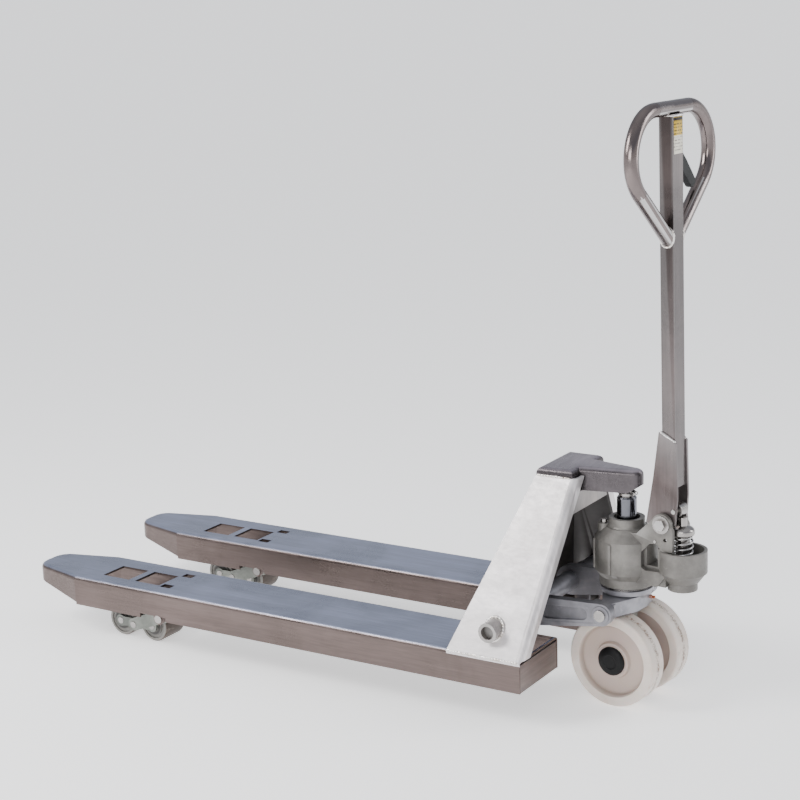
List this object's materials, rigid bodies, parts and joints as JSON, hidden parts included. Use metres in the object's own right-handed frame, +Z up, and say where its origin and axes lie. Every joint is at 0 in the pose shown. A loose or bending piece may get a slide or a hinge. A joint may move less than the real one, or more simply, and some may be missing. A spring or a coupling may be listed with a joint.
{
  "type": "pallet jack",
  "caption": "Hand pallet jack with two forks, hydraulic pump head, steered nylon wheels, tandem load rollers and a tilting drawbar with loop grip",
  "frame": {"origin": "bottom centre of the bounding box, on the floor under the middle of the forks", "axes": "+X along the forks towards the drawbar end, +Y to the left of a person walking that way, +Z up"},
  "size_m": [1.6478, 0.555, 1.262],
  "materials": {
    "fork_steel": "silver-grey paint, brushed",
    "side_steel": "light silver paint, satin",
    "bridge_steel": "grey paint, satin",
    "dark_steel": "dark grey paint",
    "cast_metal": "satin painted casting",
    "linkage_steel": "bare steel",
    "pin_steel": "turned steel",
    "chrome": "polished",
    "handle_steel": "polished and brushed tube",
    "nylon_cream": "cast nylon, moulded",
    "black_plastic": "moulded, fine texture",
    "roller_dark": "worn polyurethane",
    "copper": "copper plated",
    "label": "printed plate"
  },
  "bodies": {
    "frame": {"fork_left": "fork_steel", "fork_right": "fork_steel", "toe_left": "fork_steel", "toe_right": "fork_steel", "heel_plates": "fork_steel", "side_plate_left": "side_steel", "side_plate_right": "side_steel", "bridge_cap": "bridge_steel", "bulkhead": "dark_steel", "front_web": "bridge_steel", "pivot_bosses": "side_steel", "torsion_shaft": "linkage_steel", "frame_shafts": "pin_steel", "ram": "chrome", "ram_head": "pin_steel", "ram_clip": "pin_steel"},
    "rocker": {"rocker": "linkage_steel", "rocker_pins": "pin_steel"},
    "rod_left": {"push_rod_left": "linkage_steel"},
    "rod_right": {"push_rod_right": "linkage_steel"},
    "arm_left": {"wheel_frame_left": "linkage_steel", "bogie_pin_left": "pin_steel"},
    "arm_right": {"wheel_frame_right": "linkage_steel", "bogie_pin_right": "pin_steel"},
    "bogie_left": {"bogie_left": "linkage_steel", "roller_axles_left": "pin_steel"},
    "bogie_right": {"bogie_right": "linkage_steel", "roller_axles_right": "pin_steel"},
    "roller_left_toe": {"roller_left_toe": "roller_dark"},
    "roller_left_heel": {"roller_left_heel": "roller_dark"},
    "roller_right_toe": {"roller_right_toe": "roller_dark"},
    "roller_right_heel": {"roller_right_heel": "roller_dark"},
    "carriage": {"base_plate": "linkage_steel", "grease_nipple": "copper", "thrust_bearing": "pin_steel"},
    "pump": {"pump_casting": "cast_metal", "gland_ring": "dark_steel", "pump_fasteners": "pin_steel", "steer_axle": "pin_steel", "axle_circlips": "dark_steel", "pivot_bolt": "pin_steel"},
    "wheel_left": {"steer_wheel_left": "nylon_cream", "wheel_bearings_left": "pin_steel", "hub_cap_left": "black_plastic"},
    "wheel_right": {"steer_wheel_right": "nylon_cream", "wheel_bearings_right": "pin_steel", "hub_cap_right": "black_plastic"},
    "piston": {"pump_piston": "chrome", "return_spring": "chrome"},
    "release": {"release_lever": "linkage_steel"},
    "drawbar": {"drawbar_tube": "handle_steel", "handle_loop": "handle_steel", "handle_brackets": "handle_steel", "press_roller_pin": "pin_steel", "label_plate": "label", "control_pin": "pin_steel"},
    "press_roller": {"press_roller": "pin_steel"},
    "control": {"control_lever": "black_plastic"},
    "pull_rod": {"pull_rod": "linkage_steel"}
  },
  "joints": [
    {"name": "lift", "type": "slide", "parent": "frame", "child": "carriage", "axis": [0, 0, -1], "range_m": [-0.052, 0.053]},
    {"name": "rocker_turn", "type": "hinge", "parent": "frame", "child": "rocker", "pos_m": [0.45605, 0, 0.197], "axis": [0, 1, 0], "range_deg": [-18, 18]},
    {"name": "rod_left_slide", "type": "slide", "parent": "frame", "child": "rod_left", "axis": [-1, 0, 0], "range_m": [-0.024, 0.024]},
    {"name": "arm_left_swing", "type": "hinge", "parent": "frame", "child": "arm_left", "pos_m": [-0.42195, 0.1925, 0.079], "axis": [0, 1, 0], "range_deg": [-32, 32]},
    {"name": "bogie_left_level", "type": "hinge", "parent": "arm_left", "child": "bogie_left", "pos_m": [-0.52442, 0.1925, 0.039], "axis": [0, 1, 0], "range_deg": [-32, 32]},
    {"name": "roller_left_toe_spin", "type": "hinge", "parent": "bogie_left", "child": "roller_left_toe", "pos_m": [-0.57142, 0.1925, 0.039], "axis": [0, 1, 0], "continuous": true},
    {"name": "roller_left_heel_spin", "type": "hinge", "parent": "bogie_left", "child": "roller_left_heel", "pos_m": [-0.47742, 0.1925, 0.039], "axis": [0, 1, 0], "continuous": true},
    {"name": "rod_right_slide", "type": "slide", "parent": "frame", "child": "rod_right", "axis": [-1, 0, 0], "range_m": [-0.024, 0.024]},
    {"name": "arm_right_swing", "type": "hinge", "parent": "frame", "child": "arm_right", "pos_m": [-0.42195, -0.1925, 0.079], "axis": [0, 1, 0], "range_deg": [-32, 32]},
    {"name": "bogie_right_level", "type": "hinge", "parent": "arm_right", "child": "bogie_right", "pos_m": [-0.52442, -0.1925, 0.039], "axis": [0, 1, 0], "range_deg": [-32, 32]},
    {"name": "roller_right_toe_spin", "type": "hinge", "parent": "bogie_right", "child": "roller_right_toe", "pos_m": [-0.57142, -0.1925, 0.039], "axis": [0, 1, 0], "continuous": true},
    {"name": "roller_right_heel_spin", "type": "hinge", "parent": "bogie_right", "child": "roller_right_heel", "pos_m": [-0.47742, -0.1925, 0.039], "axis": [0, 1, 0], "continuous": true},
    {"name": "steer", "type": "hinge", "parent": "carriage", "child": "pump", "pos_m": [0.64145, 0, 0.25], "axis": [0, 0, 1], "range_deg": [-85, 95]},
    {"name": "wheel_left_spin", "type": "hinge", "parent": "pump", "child": "wheel_left", "pos_m": [0.65222, 0.05427, 0.1], "axis": [0.0872, 0.9962, 0], "continuous": true},
    {"name": "wheel_right_spin", "type": "hinge", "parent": "pump", "child": "wheel_right", "pos_m": [0.64263, -0.05531, 0.1], "axis": [0.0872, 0.9962, 0], "continuous": true},
    {"name": "drawbar_tilt", "type": "hinge", "parent": "pump", "child": "drawbar", "pos_m": [0.74306, -0.00889, 0.404], "axis": [0.0872, 0.9962, 0], "range_deg": [0, 68], "stiffness_Nm_per_rad": 34, "springref_deg": -8.59},
    {"name": "piston_stroke", "type": "slide", "parent": "pump", "child": "piston", "axis": [0, 0, -1], "range_m": [0, 0.039], "deforming": ["return_spring"]},
    {"name": "press_roller_spin", "type": "hinge", "parent": "drawbar", "child": "press_roller", "pos_m": [0.76462, -0.01078, 0.43129], "axis": [0.0872, 0.9962, 0], "continuous": true},
    {"name": "control_squeeze", "type": "hinge", "parent": "drawbar", "child": "control", "pos_m": [0.74306, -0.00889, 1.16806], "axis": [0.9961, -0.0871, 0.0131], "range_deg": [-12, 14], "stiffness_Nm_per_rad": 4},
    {"name": "pull_rod_slide", "type": "slide", "parent": "drawbar", "child": "pull_rod", "axis": [-0.013, 0.0011, 0.9999], "range_m": [-0.006, 0.007]},
    {"name": "release_turn", "type": "hinge", "parent": "pump", "child": "release", "pos_m": [0.72912, -0.00767, 0.366], "axis": [0.0872, 0.9962, 0], "range_deg": [-14, 12]}
  ],
  "couplings": [
    {"joint": "rocker_turn", "follows": "lift", "rad_per_m": 5.67},
    {"joint": "rod_left_slide", "follows": "lift", "ratio": 0.431},
    {"joint": "arm_left_swing", "follows": "lift", "rad_per_m": -10.26},
    {"joint": "bogie_left_level", "follows": "lift", "rad_per_m": 10.26},
    {"joint": "rod_right_slide", "follows": "lift", "ratio": 0.431},
    {"joint": "arm_right_swing", "follows": "lift", "rad_per_m": -10.26},
    {"joint": "bogie_right_level", "follows": "lift", "rad_per_m": 10.26},
    {"joint": "piston_stroke", "follows": "drawbar_tilt", "m_per_rad": 0.032},
    {"joint": "pull_rod_slide", "follows": "control_squeeze", "m_per_rad": 0.022},
    {"joint": "release_turn", "follows": "control_squeeze", "ratio": -0.7}
  ]
}
